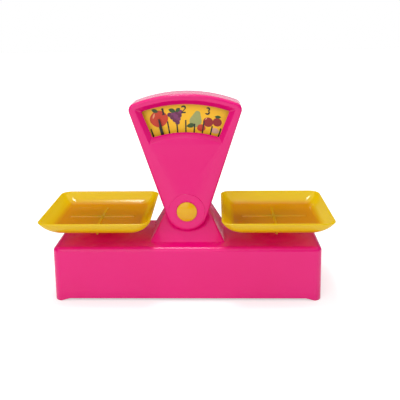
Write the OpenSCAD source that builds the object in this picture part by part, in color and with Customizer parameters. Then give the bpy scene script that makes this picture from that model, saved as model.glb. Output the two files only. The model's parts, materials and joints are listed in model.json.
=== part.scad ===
// Toy market scale: moulded base, fan-shaped dial head, trays on plungers, rocker beam, geared pointer
// X runs to the right, Y to the back, Z up; the origin is on the ground under the middle of the base

/* [Base] */
// Length of the base at its foot
base_l = 275.5; // [250:0.5:300]
// Depth of the base at its foot
base_w = 90; // [84:1:104]
// Height of the base with its feet
base_h = 58; // [54:1:64]
// Wall of the moulded housings
wall = 2.2; // [1.8:0.1:2.6]
// Draft of each side of the base over its height
base_draft = 1.4; // [0.4:0.1:2.4]
// Radius of the upright corners of the base
base_corner_r = 8; // [7:0.5:12]
// Radius of the top edge of the base
base_edge_r = 5; // [3:0.5:6]
// Height of the corner feet
foot_h = 2.6; // [1.6:0.1:3.2]
// Length of a foot from the corner to where its shoulder ends
foot_l = 16; // [12:1:24]
// Length of the flat tip of a foot
foot_tip_l = 7; // [4:0.5:10]
// Thickness of the bottom cover
cover_t = 2.2; // [1.6:0.1:3]

/* [Pedestal] */
// Width of the pedestal where it meets the base
tower_w = 77; // [70:1:84]
// Reach of the pedestal to the front of the middle
tower_front = 27.5; // [24:0.5:30]
// Reach of the pedestal to the back of the middle
tower_back_reach = 38; // [34:1:39]
// Height of the pedestal above the base
tower_h = 36; // [30:1:40]
// Lean of the sides, as a share of the height
tower_side_share = 0.6; // [0.5:0.01:0.66]
// Lean of the front, as a share of the height
tower_front_share = 0.86; // [0.8:0.01:0.95]
// Lean of the back, as a share of the height
tower_back_share = 0.08; // [0:0.01:0.2]
// Radius of the upright edges of the pedestal
tower_edge_r = 2; // [1:0.25:3]
// Place of the seam between the halves of the pedestal
tower_seam_y = 18; // [10:0.5:20]
// Depth of the shadow line along the seam, and its width on each half
seam_groove = 0.4; // [0.2:0.1:0.8]

/* [Dial head] */
// Radius of the top of the head about the pointer's axle
head_r = 146.8; // [138:1:156]
// Radius of the round lower end of the head
head_end_r = 21.4; // [20:0.5:24]
// Height of the round end's centre above the pointer's axle
head_end_rise = 28; // [25:0.5:30]
// Angle of each side of the head from upright
head_half_angle = 17.8; // [17:0.1:20]
// Radius of the two upper corners of the head
head_corner_r = 7; // [4:0.5:10]
// Front face of the head, in front of the middle
head_front = 22; // [21:0.5:23]
// Back face of the head, behind the middle
head_back = 10; // [8:0.5:12]
// Depth of the front shell at its rim
bezel_depth = 3.6; // [3.2:0.1:5]
// Radius of the front and back edges of the head
head_edge_r = 2.6; // [1.5:0.1:3]
// Distance of the raised disc round the cap from the head's rounded edge
disc_inset = 0.4; // [0.3:0.1:2]
// Height of the raised disc
disc_rise = 0.8; // [0.4:0.1:1.5]
// Radius of the yellow cap
cap_r = 10.3; // [8:0.1:12]
// Height of the domed cap
cap_rise = 3.4; // [2:0.1:5]

/* [Window and dial] */
// Distance of the window's upper edge from the top of the head
window_top_gap = 10.4; // [9:0.2:14]
// Height of the window between its upper and lower edges
window_band = 27.4; // [24:0.2:29]
// Distance of the window's lower corners from the sides of the head
window_low_gap = 13.8; // [12.4:0.2:18]
// Distance of the window's upper corners from the sides of the head
window_high_gap = 12.2; // [11.8:0.2:18]
// Width of the sloping frame round the window
bevel_w = 4.6; // [3:0.1:5]
// Depth of the sloping frame
bevel_depth = 5; // [4:0.1:6]
// Thickness of the printed card
card_t = 0.5; // [0.3:0.1:1]
// Half angle of the card about the pointer's axle
card_half_angle = 20.5; // [20:0.1:21.5]

/* [Trays] */
// Size of the square tray over its rim
tray_size = 111.6; // [100:1:116]
// Height of the tray from its floor to its rim
tray_h = 11.5; // [9:0.5:15]
// Distance from rim to floor, seen from above
tray_flare = 12; // [9:0.5:15]
// Wall of the tray
tray_wall = 1.9; // [1.5:0.1:2.4]
// Radius of the rim's corners
tray_corner_r = 11; // [8:0.5:14]
// Distance of each tray's centre from its end of the base
tray_inset = 46.75; // [42:0.25:50]
// Height of the tray floor's underside above the base
tray_rise = 16.6; // [16.5:0.1:22]
// Depth of the ribs under the tray
rib_h = 5.6; // [4:0.1:6]
// Thickness of a rib
rib_t = 2; // [1.4:0.1:3]
// Reach of each rib from the tray's centre
rib_reach = 34; // [24:1:38]
// Radius of the shallow dome under each tray
dome_r = 28; // [24:0.5:34]
// Height of the shallow dome
dome_h = 3.6; // [2:0.1:4]

/* [Movement] */
// Depth of the beam's pivot below the top of the base
beam_drop = 32.5; // [31:0.5:34]
// Pitch radius of the toothed sector
sector_r = 32; // [32:0.5:33]
// Teeth on a full circle of the sector's size
sector_teeth = 80; // [80:10:90]
// Teeth on the pinion
pinion_teeth = 10; // [9:1:10]
// Radius of the beam's steel axle
beam_pin_r = 1.5; // [1.2:0.1:2]
// Radius of the pointer's steel axle
pointer_pin_r = 1; // [0.8:0.1:1.3]
// Radius of the tray plungers
stem_r = 6; // [5:0.25:7]
// Reach of the needle past the lower edge of the window
needle_reach = 15; // [10:0.5:20]
// Width of the needle
needle_w = 3.4; // [2:0.1:4]
// Lean of the needle at rest, to the left
needle_rest_angle = 12.4; // [4:0.1:16]
// Radius of the screws' shanks
screw_r = 1.5; // [1.2:0.1:1.8]

/* [Hidden] */
$fn = 48;

// Clearances and one overrun for cuts
overrun = 1;
fit_gap = 0.3;
running_gap = 0.06;
press_gap = 0.02;

// Colours as seen on the object
PINK = "#e62d78";
YELLOW = "#e3b51a";
BLACK = "#161214";
WHITE = "#e8e6e0";
STEEL = "#b9bcc0";
CARD = "#dfa827";

// Steps of the curved outlines
corner_steps = 5;
edge_steps = 4;
end_steps = 18;
arc_steps = 14;
head_corner_steps = 4;
tower_corner_steps = 3;
window_corner_steps = 3;
flank_steps = 4;
round_steps = 192;

// Shared heights
base_top_z = base_h;
ceiling_z = base_h - wall;
beam_z = base_top_z - beam_drop;
tray_x = base_l / 2 - tray_inset;
pinion_r = sector_r * pinion_teeth / sector_teeth;
axle_z = beam_z + sector_r + pinion_r;
module_size = 2 * sector_r / sector_teeth;
end_z = axle_z + head_end_rise;
cover_z = foot_h + fit_gap + wall / 2;
cover_top_z = cover_z + cover_t;

// Screws
screw_head_share = 1.9;
screw_depth_share = 1.2;
screw_head_r = screw_head_share * screw_r;
screw_head_h = screw_depth_share * screw_r;
screw_hole_r = screw_r + fit_gap;
screw_pilot_r = screw_r + press_gap;
boss_r = screw_r + wall - fit_gap;
boss_rim = 1;
cover_post_r = boss_r + boss_rim;
screw_bite = 8;
screw_end_gap = 1;

// Cover screws
cover_post_x = base_l / 2 - base_corner_r - foot_h - 2 * boss_r;
cover_post_y = base_w / 2 - base_corner_r - boss_r;
cover_screw_places = [for (sx = [-1, 0, 1]) for (sy = [-1, 1]) [sx * cover_post_x, sy * cover_post_y]];

// Screws that hold the pedestal from below
tower_boss_h = screw_bite + screw_end_gap;
tower_boss_x = tower_w / 2 - tower_side_share * tower_boss_h - 2 * wall - boss_r;
tower_boss_front_y = -tower_front + tower_front_share * tower_boss_h + 2 * wall + boss_r;
tower_boss_back_y = tower_back_reach - 2 * wall - 2 * boss_r;
tower_screw_places = [for (sx = [-1, 1]) for (y = [tower_boss_front_y, tower_boss_back_y])
                      [sx * tower_boss_x, y]];

// Movement bracket
beam_width = 10;
sector_t = 3;
frame_gap = 14;
frame_t = 2;
frame_y = frame_gap / 2 + frame_t;
frame_post_h = 8;
frame_ear_z = ceiling_z - frame_post_h - frame_t;
frame_ear_x = 19;
frame_ear_y = frame_gap / 2 - boss_r + frame_t;
frame_half_w = 9;
frame_top_r = 6.4;
foot_gap_share = 0.177;
ear_gap = 1.5;
frame_screw_places = [for (sx = [-1, 1]) for (sy = [-1, 1]) [sx * frame_ear_x, sy * frame_ear_y]];

// Opening in the base's top for the movement
hatch_half_x = 12;
needle_y = -12;
needle_t = 1;
hatch_gap = 3.5;
hatch_front_y = needle_y - needle_t / 2 - hatch_gap;
hatch_back_y = frame_y + wall;

// Beam
beam_hub_r = 6;
beam_hub_l = frame_gap - 2 * fit_gap;
hub_room = beam_z - beam_hub_r - frame_t - cover_top_z;
frame_foot_z = cover_top_z + (1 - foot_gap_share) * hub_room;
beam_web_t = 3;
beam_rim_t = 1.8;
beam_mid_half_h = 6.5;
beam_end_half_h = 3.5;
beam_end_rise = 1.5;
pad_r = 8;
pad_t = 3;
pad_rise = beam_end_rise + beam_end_half_h + pad_t;
pad_top_z = beam_z + pad_rise;
sector_half_teeth = 3;
tooth_play = 0.12;
pressure_angle = 20;
shift_share = 0.45;
dedendum_share = 1.25;
stalk_half_w = 5;
pinion_margin = 1;

// Plungers
foot_gap = 0.2;
plunger_foot_r = 9;
plunger_foot_t = 2;
plunger_dome_h = 1.5;
plunger_low_z = pad_top_z + foot_gap;
plunger_foot_top_z = plunger_low_z + plunger_dome_h + plunger_foot_t;
tray_travel = 6.2;
guide_r = stem_r + running_gap;
guide_low_z = plunger_foot_top_z + tray_travel + fit_gap;
key_w = 2;
key_reach = 1.5;

// Trays
tray_under_z = base_top_z + tray_rise;
tray_floor_z = tray_under_z + tray_wall;
rib_low_z = tray_under_z - rib_h;
hub_r = stem_r + wall;
peg_r = stem_r - wall / 2;
mark_h = 0.4;
mark_w = 1.8;
mark_x = 33;
mark_y = 28;
tray_floor_corner_r = 5;
tray_curve_steps = 7;
tray_lip = 1;
wall_curve_share = 0.35;

// Head
bezel_back_y = -head_front + bezel_depth;
face_y = -head_front;
face_inner_y = face_y + wall;
disc_r = head_end_r - head_edge_r - disc_inset;
window_high_r = head_r - window_top_gap;
window_low_r = window_high_r - window_band;
window_high_half = side_x(window_high_r * cos(head_half_angle)) - window_high_gap;
window_low_half = side_x(window_low_r * cos(head_half_angle)) - window_low_gap;
needle_l = window_low_r + needle_reach;
pan_floor_y = head_back - wall;
bevel_back_y = face_y + bevel_depth;
card_gap = 1.4;
card_margin = 4;
bed_angle_inset = 1;
card_back_y = needle_y + needle_t / 2 + card_gap + card_t;
card_low_r = window_low_r - bevel_w;
card_high_r = window_high_r + card_margin;
window_corner_r = 1.2;
post_r = 3;
low_post_lift = 10;
high_post_gap = 1.6;
low_post_rise = head_end_rise + low_post_lift;
high_post_rise = window_low_r - bevel_w - 3 * post_r - wall - high_post_gap;
well_r = screw_head_r + fit_gap + boss_rim;
post_merge = 0.35;
post_side_gap = (wall + well_r - post_merge) / cos(head_half_angle);
post_places = [for (sx = [-1, 1]) for (rise = [low_post_rise, high_post_rise])
               [sx * (side_x(rise) - post_side_gap), axle_z + rise]];
well_depth = 4;
post_end_y = pan_floor_y - well_depth + wall;
lip_t = 1.2;
lip_reach = 1.8;
lip_gap = 0.15;
slot_half = 6;
needle_gap_y = 1.2;
cap_stem_r = 4;
cap_stem_l = 5;
cap_rim_t = 1;
cap_boss_r = cap_stem_r + wall;
needle_hub_r = 4;
needle_hub_reach = 1.8;
needle_hub_front_y = needle_y - needle_hub_reach;
needle_hub_back_y = -frame_y - fit_gap;
needle_tip_l = 20;
needle_tip_w = 1.4;
tail_l = 9;
tail_w = 5;
collar_r = 3;
collar_l = 2.4;
axle_tail = 0.5;
pointer_back_y = frame_y + fit_gap + collar_l;
clip_r = 3.6;
clip_t = 1;
clip_tail = 1;

// Solid through a stack of rings that all have the same number of points
module loft(rings, flip = false) {
    n = len(rings[0]);
    m = len(rings);
    points = [for (ring = rings) each ring];
    sides = [for (i = [0:m - 2]) for (j = [0:n - 1])
             let (a = i * n + j, b = i * n + (j + 1) % n, c = a + n, d = b + n)
             each [[a, c, d], [a, d, b]]];
    first = [for (j = [0:n - 1]) j];
    last = [for (j = [n - 1:-1:0]) (m - 1) * n + j];
    faces = concat(sides, [first, last]);
    polyhedron(points = points, convexity = 8,
               faces = flip ? [for (f = faces) [for (k = [len(f) - 1:-1:0]) f[k]]] : faces);
}

// Points of an arc in a plane, from one angle to the other
function arc(centre, r, from, to, steps) =
    [for (i = [0:steps]) let (t = from + (to - from) * i / steps) centre + r * [cos(t), sin(t)]];

// Ring of a rounded rectangle between four sides, anticlockwise from above
function box_ring(x0, x1, y0, y1, r, z, steps = corner_steps) =
    let (plan = concat(arc([x1 - r, y1 - r], r, 0, 90, steps), arc([x0 + r, y1 - r], r, 90, 180, steps),
                       arc([x0 + r, y0 + r], r, 180, 270, steps), arc([x1 - r, y0 + r], r, 270, 360, steps)))
    [for (p = plan) [p[0], p[1], z]];

// Rounded rectangle of true arcs
module round_rect(w, d, r) {
    square([w - 2 * r, d], center = true);
    square([w, d - 2 * r], center = true);
    for (sx = [-1, 1]) for (sy = [-1, 1]) translate([sx * (w / 2 - r), sy * (d / 2 - r)]) circle(r);
}

// Extrudes a shape drawn in X and Z, from front_y to back_y
module upright(front_y, back_y) {
    translate([0, back_y, 0]) rotate([90, 0, 0]) linear_extrude(back_y - front_y) children();
}

// Cylinder along Y at a place in X and Z
module pin_y(x, z, r, front_y, back_y) {
    translate([x, back_y, z]) rotate([90, 0, 0]) cylinder(r = r, h = back_y - front_y);
}

// Screw that points up, with the underside of its head at the origin
module screw(shank) {
    difference() {
        union() {
            translate([0, 0, -screw_head_h]) cylinder(r = screw_head_r, h = screw_head_h);
            cylinder(r = screw_r, h = shank);
        }
        for (turn = [0, 90]) rotate([0, 0, turn])
            translate([0, 0, -screw_head_h])
                cube([screw_head_r, screw_r / 2, screw_head_h], center = true);
    }
}

// Base shell: ring of the base at a height, set in from the outside
function base_ring(z, inset) =
    let (half_l = base_l / 2 - base_draft * z / base_h - inset,
         half_w = base_w / 2 - base_draft * z / base_h - inset)
    box_ring(-half_l, half_l, -half_w, half_w, base_corner_r - inset, z);

// Rings round a filleted edge: inset and height both follow a quarter circle
function base_fillet(r, top_z, inset) =
    [for (i = [0:edge_steps]) let (t = 90 * i / edge_steps)
     base_ring(top_z - r + r * sin(t), inset + r - r * cos(t))];

module dome(r, h) {
    ball_r = (r * r + h * h) / (2 * h);
    rotate_extrude() intersection() {
        translate([0, h - ball_r]) circle(ball_r, $fn = round_steps);
        square([r, h]);
    }
}

module guide_bore(low_z, high_z) {
    translate([0, 0, low_z]) cylinder(r = guide_r, h = high_z - low_z);
    translate([-key_w / 2 - lip_gap, 0, low_z])
        cube([key_w + 2 * lip_gap, guide_r + key_reach + lip_gap, high_z - low_z]);
}

module foot_relief(length) {
    tip = length / 2 - foot_tip_l;
    shoulder = length / 2 - foot_l;
    polygon([[-tip, -overrun], [tip, -overrun], [tip, 0], [shoulder, foot_h], [-shoulder, foot_h],
             [-tip, 0]]);
}

module base_shell() {
    inner_edge_r = base_edge_r - wall;
    inside = [for (i = [edge_steps:-1:0]) let (t = 90 * i / edge_steps)
              base_ring(ceiling_z - inner_edge_r + inner_edge_r * sin(t),
                        wall + inner_edge_r - inner_edge_r * cos(t))];
    color(PINK) difference() {
        union() {
            loft(concat(inside, [base_ring(0, wall), base_ring(0, 0)],
                        base_fillet(base_edge_r, base_top_z, 0)));
            for (sx = [-1, 1]) translate([sx * tray_x, 0, 0]) {
                translate([0, 0, base_top_z]) dome(dome_r, dome_h);
                translate([0, 0, guide_low_z])
                    cylinder(r = guide_r + key_reach + wall, h = ceiling_z + dome_h - guide_low_z);
            }
            for (p = cover_screw_places) translate([p[0], p[1], cover_top_z])
                cylinder(r = cover_post_r, h = ceiling_z + wall / 2 - cover_top_z);
            for (p = frame_screw_places) translate([p[0], p[1], frame_ear_z + frame_t])
                cylinder(r = boss_r, h = frame_post_h + wall / 2);
        }
        for (sx = [-1, 1]) translate([sx * tray_x, 0, 0]) {
            difference() {
                translate([0, 0, ceiling_z]) dome(dome_r, dome_h);
                cylinder(r = guide_r + key_reach + wall, h = base_top_z + dome_h + overrun);
            }
            guide_bore(guide_low_z - overrun, base_top_z + dome_h + overrun);
        }
        for (p = cover_screw_places) translate([p[0], p[1], cover_top_z - overrun])
            cylinder(r = screw_pilot_r, h = screw_bite + 2 * overrun);
        for (p = frame_screw_places) translate([p[0], p[1], frame_ear_z])
            cylinder(r = screw_pilot_r, h = screw_bite + frame_t);
        for (p = tower_screw_places) translate([p[0], p[1], ceiling_z - overrun])
            cylinder(r = screw_hole_r, h = wall + 2 * overrun);
        translate([-hatch_half_x, hatch_front_y, ceiling_z - overrun])
            cube([2 * hatch_half_x, hatch_back_y - hatch_front_y, wall + 2 * overrun]);
        upright(-base_w, base_w) foot_relief(base_l);
        rotate([0, 0, 90]) upright(-base_l, base_l) foot_relief(base_w);
    }
}

module base_cover() {
    inset = wall + fit_gap + base_draft * cover_top_z / base_h;
    color(PINK) translate([0, 0, cover_z]) difference() {
        linear_extrude(cover_t)
            round_rect(base_l - 2 * inset, base_w - 2 * inset, base_corner_r - wall);
        for (p = cover_screw_places) translate([p[0], p[1], -overrun])
            cylinder(r = screw_hole_r, h = cover_t + 2 * overrun);
    }
}

module cover_screws() {
    color(STEEL) for (p = cover_screw_places) translate([p[0], p[1], cover_z]) screw(cover_t + screw_bite);
}

// Pedestal: ring at a height above the base, with a wall's thickness taken off each leaning side
function tower_ring(rise, thick) =
    let (side = tower_w / 2 - tower_side_share * rise - thick * sqrt(1 + tower_side_share ^ 2),
         front = tower_front - tower_front_share * rise - thick * sqrt(1 + tower_front_share ^ 2),
         back = tower_back_reach - tower_back_share * rise - thick * sqrt(1 + tower_back_share ^ 2))
    box_ring(-side, side, -front, back, max(tower_edge_r - thick, tower_edge_r / 4), base_top_z + rise,
             tower_corner_steps);

module tower_hollow() {
    difference() {
        loft([tower_ring(0, 0), tower_ring(tower_h - tower_edge_r, 0),
              tower_ring(tower_h - tower_edge_r * (1 - sin(45)), tower_edge_r * (1 - cos(45))),
              tower_ring(tower_h, tower_edge_r)]);
        loft([tower_ring(-overrun, wall), tower_ring(tower_h - wall, wall)]);
    }
}

module seam_line() {
    difference() {
        translate([-tower_w, tower_seam_y - seam_groove, base_top_z - overrun])
            cube([2 * tower_w, 2 * seam_groove, tower_h + 2 * overrun]);
        loft([tower_ring(-2 * overrun, seam_groove), tower_ring(tower_h - seam_groove, seam_groove)]);
    }
}

module tower_bosses(y, rib_to_side) {
    for (sx = [-1, 1]) translate([sx * tower_boss_x, y, base_top_z]) {
        cylinder(r = boss_r, h = tower_boss_h);
        if (rib_to_side) translate([sx > 0 ? 0 : -2 * wall - boss_r, -wall / 2, 0])
            cube([2 * wall + boss_r, wall, tower_boss_h]);
        else translate([-wall / 2, 0, 0]) cube([wall, 3 * wall + boss_r, tower_boss_h]);
    }
}

module tower_pilots(y) {
    for (sx = [-1, 1]) translate([sx * tower_boss_x, y, base_top_z - overrun])
        cylinder(r = screw_pilot_r, h = screw_bite + overrun);
}

// Half width of the head at a height above the pointer's axle, along its straight sides
function side_x(rise) = (head_end_r + (rise - head_end_rise) * sin(head_half_angle)) / cos(head_half_angle);

// Outline of the fan-shaped head in X and Z, set in from the outside, anticlockwise from the front
function head_ring(inset, y) =
    let (a = head_half_angle,
         n = [cos(a), -sin(a)], u = [sin(a), cos(a)],
         corner_r = max(head_corner_r - inset, head_corner_r / 4),
         low = [0, head_end_rise],
         q = low + (head_end_r - inset - corner_r) * n,
         t = -q * u + sqrt((q * u) ^ 2 - q * q + (head_r - inset - corner_r) ^ 2),
         k = q + t * u,
         top = atan2(k[1], k[0]),
         half = concat(arc(low, head_end_r - inset, -90, -a, end_steps / 2),
                       arc(k, corner_r, -a, top, head_corner_steps),
                       arc([0, 0], head_r - inset, top, 90, arc_steps / 2)),
         right = [for (i = [0:len(half) - 1]) if (i != end_steps / 2 + head_corner_steps + 2) half[i]],
         left = [for (i = [len(right) - 2:-1:1]) [-right[i][0], right[i][1]]])
    [for (p = concat(right, left)) [p[0], y, axle_z + p[1]]];

// Rings of a head shell's rounded edge, from the rim to the face
function head_edge_rings(rim_y, face, r) =
    let (dir = sign(face - rim_y))
    [for (i = [0:edge_steps]) let (t = 90 * i / edge_steps)
     head_ring(r - r * cos(t), face - dir * r + dir * r * sin(t))];

// Outline of the window in X and Z, set in from its edge by a distance or grown by a negative one
function window_ring(inset, y) =
    let (low = [window_low_half, sqrt(window_low_r ^ 2 - window_low_half ^ 2)],
         high = [window_high_half, sqrt(window_high_r ^ 2 - window_high_half ^ 2)],
         u = (high - low) / norm(high - low),
         n = [u[1], -u[0]],
         a = atan2(u[0], u[1]),
         q = low * n - inset - window_corner_r,
         low_r = window_low_r + inset + window_corner_r,
         high_r = window_high_r - inset - window_corner_r,
         k_low = q * n + sqrt(low_r ^ 2 - q ^ 2) * u,
         k_high = q * n + sqrt(high_r ^ 2 - q ^ 2) * u,
         low_a = atan2(k_low[1], k_low[0]),
         high_a = atan2(k_high[1], k_high[0]),
         right = concat(arc([0, 0], window_low_r + inset, 90, low_a, arc_steps / 2),
                        [for (i = [1:window_corner_steps])
                         let (t = low_a - 180 + (180 - low_a - a) * i / window_corner_steps)
                         k_low + window_corner_r * [cos(t), sin(t)]],
                        arc(k_high, window_corner_r, -a, high_a, window_corner_steps),
                        [for (i = [1:arc_steps / 2]) let (t = high_a + (90 - high_a) * i / (arc_steps / 2))
                         (window_high_r - inset) * [cos(t), sin(t)]]),
         left = [for (i = [len(right) - 2:-1:1]) [-right[i][0], right[i][1]]])
    [for (p = concat(right, left)) [p[0], y, axle_z + p[1]]];

// Ring sector about the pointer's axle, in X and Z
module sector_2d(low_r, high_r, half_angle) {
    far = 2 * high_r;
    translate([0, axle_z]) intersection() {
        difference() {
            circle(high_r, $fn = round_steps);
            circle(low_r, $fn = round_steps);
        }
        polygon([[0, 0], [far * sin(half_angle), far * cos(half_angle)],
                 [-far * sin(half_angle), far * cos(half_angle)]]);
    }
}

module tower_body() {
    color(PINK) difference() {
        union() {
            intersection() {
                tower_hollow();
                translate([-tower_w, -tower_front - overrun, 0])
                    cube([2 * tower_w, tower_front + overrun + tower_seam_y,
                          base_top_z + tower_h + overrun]);
            }
            loft(concat([for (i = [edge_steps:-1:0]) let (t = 90 * i / edge_steps)
                         head_ring(head_edge_r - head_edge_r * cos(t),
                                   head_back - head_edge_r + head_edge_r * sin(t))],
                        [head_ring(0, bezel_back_y)]));
            tower_bosses(tower_boss_front_y, true);
        }
        difference() {
            loft([head_ring(wall, pan_floor_y), head_ring(wall, bezel_back_y - overrun)]);
            for (p = post_places) pin_y(p[0], p[1], well_r, post_end_y, head_back);
            upright(card_back_y, head_back) difference() {
                sector_2d(card_low_r, card_high_r, card_half_angle);
                sector_2d(card_low_r + wall, card_high_r - wall, card_half_angle - bed_angle_inset);
            }
        }
        loft([head_ring(-lip_gap, bezel_back_y), head_ring(-lip_gap, -tower_front - overrun)]);
        translate([-slot_half, needle_y - needle_gap_y - needle_t / 2, axle_z])
            cube([2 * slot_half, 2 * needle_gap_y + needle_t, head_end_rise]);
        for (p = post_places) {
            pin_y(p[0], p[1], screw_head_r + fit_gap, post_end_y + wall, head_back + overrun);
            pin_y(p[0], p[1], screw_hole_r, post_end_y - overrun, head_back);
        }
        tower_pilots(tower_boss_front_y);
        seam_line();
    }
}

module tower_back() {
    color(PINK) difference() {
        union() {
            intersection() {
                tower_hollow();
                translate([-tower_w, tower_seam_y, 0])
                    cube([2 * tower_w, tower_back_reach + overrun, base_top_z + tower_h + overrun]);
            }
            tower_bosses(tower_boss_back_y, false);
        }
        tower_pilots(tower_boss_back_y);
        seam_line();
    }
}

module tower_screws() {
    color(STEEL) for (p = tower_screw_places) translate([p[0], p[1], ceiling_z])
        screw(wall + screw_bite - screw_end_gap);
}

module dial_bezel() {
    color(PINK) difference() {
        union() {
            loft(concat([head_ring(wall, face_inner_y), head_ring(wall, bezel_back_y)],
                        [head_ring(0, bezel_back_y)],
                        head_edge_rings(bezel_back_y, face_y, head_edge_r)));
            loft([window_ring(-wall / 2, bevel_back_y), window_ring(-bevel_w, face_inner_y - wall / 2)]);
            difference() {
                loft([head_ring(wall + lip_gap, bezel_back_y + lip_reach),
                      head_ring(wall + lip_gap, face_inner_y - wall / 2)]);
                loft([head_ring(wall + lip_gap + lip_t, bezel_back_y + lip_reach + overrun),
                      head_ring(wall + lip_gap + lip_t, face_inner_y - wall)]);
            }
            pin_y(0, end_z, disc_r, face_y - disc_rise, face_inner_y);
            pin_y(0, end_z, cap_boss_r, face_inner_y - wall / 2,
                  face_y - disc_rise + cap_stem_l + overrun);
            for (p = post_places) pin_y(p[0], p[1], post_r, face_inner_y - wall / 2, post_end_y);
        }
        loft([window_ring(0, bevel_back_y + overrun), window_ring(0, bevel_back_y),
              window_ring(-bevel_w, face_y), window_ring(-bevel_w, face_y - overrun)]);
        pin_y(0, end_z, cap_stem_r + press_gap, face_y - disc_rise - overrun,
              face_y - disc_rise + cap_stem_l + 2 * overrun);
        for (p = post_places)
            pin_y(p[0], p[1], screw_pilot_r, post_end_y - screw_bite, post_end_y + overrun);
    }
}

module bezel_screws() {
    color(STEEL) for (p = post_places) translate([p[0], post_end_y + wall, p[1]])
        rotate([90, 0, 0]) screw(wall + screw_bite - screw_end_gap);
}

module hub_cap() {
    seat_y = face_y - disc_rise;
    color(YELLOW) union() {
        translate([0, seat_y - cap_rim_t, end_z]) rotate([90, 0, 0]) dome(cap_r, cap_rise - cap_rim_t);
        pin_y(0, end_z, cap_r, seat_y - cap_rim_t, seat_y);
        pin_y(0, end_z, cap_stem_r, seat_y - cap_rim_t, seat_y + cap_stem_l);
    }
}

module dial_card() {
    color(CARD) upright(card_back_y - card_t, card_back_y)
        sector_2d(card_low_r, card_high_r, card_half_angle);
}

// One cheek of the movement bracket, in X and Z
module frame_cheek() {
    ear_end = frame_ear_x + boss_r;
    difference() {
        union() {
            polygon([[-frame_half_w, frame_foot_z], [frame_half_w, frame_foot_z],
                     [frame_half_w, beam_z + beam_hub_r], [ear_end, frame_ear_z],
                     [ear_end, frame_ear_z + frame_t],
                     [frame_half_w, frame_ear_z + frame_t], [frame_top_r, axle_z], [-frame_top_r, axle_z],
                     [-frame_half_w, frame_ear_z + frame_t], [-ear_end, frame_ear_z + frame_t],
                     [-ear_end, frame_ear_z], [-frame_half_w, beam_z + beam_hub_r]]);
            translate([0, axle_z]) circle(frame_top_r);
        }
        translate([0, axle_z]) circle(pointer_pin_r + running_gap);
        translate([0, beam_z]) circle(beam_pin_r + press_gap);
    }
}

module movement_frame() {
    ear_start = frame_half_w + ear_gap;
    ear_end = frame_ear_x + boss_r;
    color(WHITE) difference() {
        union() {
            upright(-frame_y, -frame_gap / 2) frame_cheek();
            upright(frame_gap / 2, frame_y) frame_cheek();
            translate([-frame_half_w, -frame_y, frame_foot_z])
                cube([2 * frame_half_w, 2 * frame_y, frame_t]);
            for (sx = [-1, 1]) translate([sx > 0 ? ear_start : -ear_end, -frame_y, frame_ear_z])
                cube([ear_end - ear_start, 2 * frame_y, frame_t]);
        }
        for (p = frame_screw_places) translate([p[0], p[1], 0]) {
            translate([0, 0, frame_ear_z - overrun]) cylinder(r = screw_hole_r, h = frame_t + 2 * overrun);
            translate([0, 0, beam_z]) cylinder(r = screw_head_r + fit_gap, h = frame_ear_z - beam_z);
        }
    }
}

module frame_screws() {
    color(STEEL) for (p = frame_screw_places) translate([p[0], p[1], frame_ear_z])
        screw(frame_t + frame_post_h - screw_end_gap);
}

module beam_axle() {
    reach = frame_y + clip_t + clip_tail;
    color(STEEL) pin_y(0, beam_z, beam_pin_r, -reach, reach);
}

module beam_axle_clips() {
    color(STEEL) for (s = [-1, 1]) difference() {
        pin_y(0, beam_z, clip_r, s > 0 ? frame_y : -frame_y - clip_t,
              s > 0 ? frame_y + clip_t : -frame_y);
        pin_y(0, beam_z, beam_pin_r + press_gap, -2 * frame_y, 2 * frame_y);
    }
}

// Involute flank of a tooth: angle swept by the involute at a radius
function involute_angle(base, r) =
    r <= base ? 0 : tan(acos(base / r)) * 180 / PI - acos(base / r);

// One tooth about the origin that points along X, as points from its lower to its upper flank
function tooth(teeth, shift) =
    let (pitch = module_size * teeth / 2,
         base = pitch * cos(pressure_angle),
         tip = pitch + module_size * (1 + shift),
         root = pitch - module_size * (dedendum_share - shift),
         thick = module_size * (PI / 2 + 2 * shift * tan(pressure_angle)) - tooth_play,
         half = thick / pitch / 2 * 180 / PI + involute_angle(base, pitch),
         start = max(base, root),
         flank = [for (i = [0:flank_steps]) let (r = start + (tip - start) * i / flank_steps)
                  [r, half - involute_angle(base, r)]],
         all = concat([[root - module_size / 4, half]], flank))
    concat([for (p = all) p[0] * [cos(-p[1]), sin(-p[1])]],
           [for (i = [len(all) - 1:-1:0]) let (p = all[i]) p[0] * [cos(p[1]), sin(p[1])]]);

module beam_side() {
    for (s = [-1, 1]) mirror([s > 0 ? 0 : 1, 0]) polygon([
        [0, -beam_mid_half_h], [tray_x, beam_end_rise - beam_end_half_h],
        [tray_x + beam_end_half_h, beam_end_rise],
        [tray_x, beam_end_rise + beam_end_half_h], [0, beam_mid_half_h]]);
}

module beam_pocket() {
    start = beam_hub_r + beam_rim_t;
    end = tray_x - pad_r - beam_rim_t;
    share_start = start / tray_x;
    share_end = end / tray_x;
    low_climb = beam_end_rise - beam_end_half_h + beam_mid_half_h;
    high_climb = beam_end_rise + beam_end_half_h - beam_mid_half_h;
    low_start = -beam_mid_half_h + low_climb * share_start + beam_rim_t;
    low_end = -beam_mid_half_h + low_climb * share_end + beam_rim_t;
    high_start = beam_mid_half_h + high_climb * share_start - beam_rim_t;
    high_end = beam_mid_half_h + high_climb * share_end - beam_rim_t;
    for (s = [-1, 1]) mirror([s > 0 ? 0 : 1, 0])
        polygon([[start, low_start], [end, low_end], [end, high_end], [start, high_start]]);
}

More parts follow.
